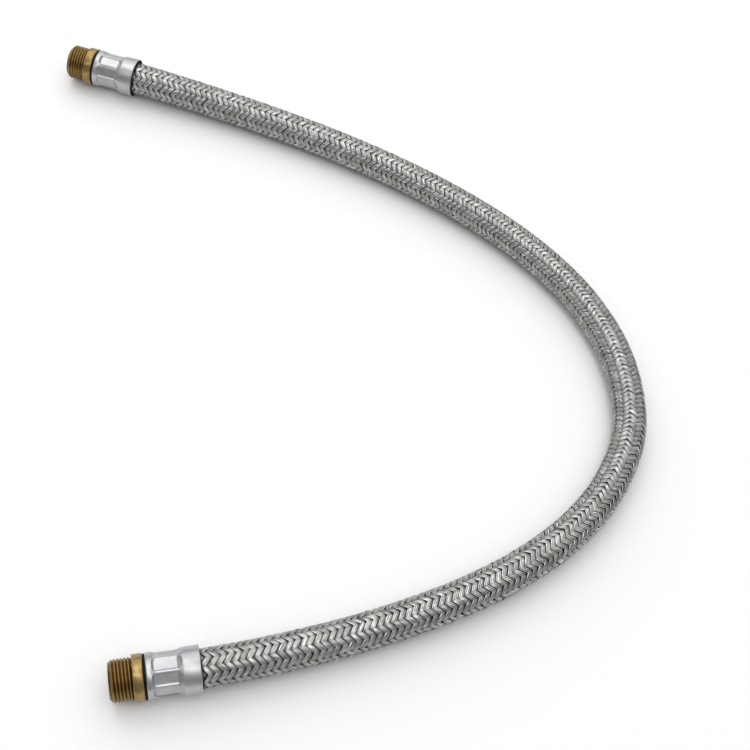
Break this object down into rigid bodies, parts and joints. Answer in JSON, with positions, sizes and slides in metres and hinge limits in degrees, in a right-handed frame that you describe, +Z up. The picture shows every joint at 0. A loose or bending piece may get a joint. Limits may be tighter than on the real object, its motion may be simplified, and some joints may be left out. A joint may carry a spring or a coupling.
{
  "type": "braided gas hose with crimped male fittings",
  "caption": "Flexible gas hose in a wire braid, lying in an open curve, with a crimped ferrule and a male parallel pipe thread at each end.",
  "frame": {"origin": "on the floor, midway between the two fittings", "axes": "+Z up; +Y from the near fitting to the far fitting; +X towards the closed side of the hose's curve"},
  "size_m": [0.312, 0.3277, 0.0192],
  "materials": {
    "brass": "turned, bare, slightly dulled",
    "black_ring": "matt black",
    "ferrule_alloy": "bright, satin, with pressed panels",
    "tube_rubber": "matt black",
    "braid_wire": "bright flat bundles of fine stainless wire"
  },
  "bodies": {
    "root": {"near_fitting": "brass", "far_fitting": "brass", "near_spacer_ring": "black_ring", "far_spacer_ring": "black_ring", "near_ferrule": "ferrule_alloy", "far_ferrule": "ferrule_alloy", "inner_tube": "tube_rubber", "braid_cover": "braid_wire"}
  },
  "joints": []
}
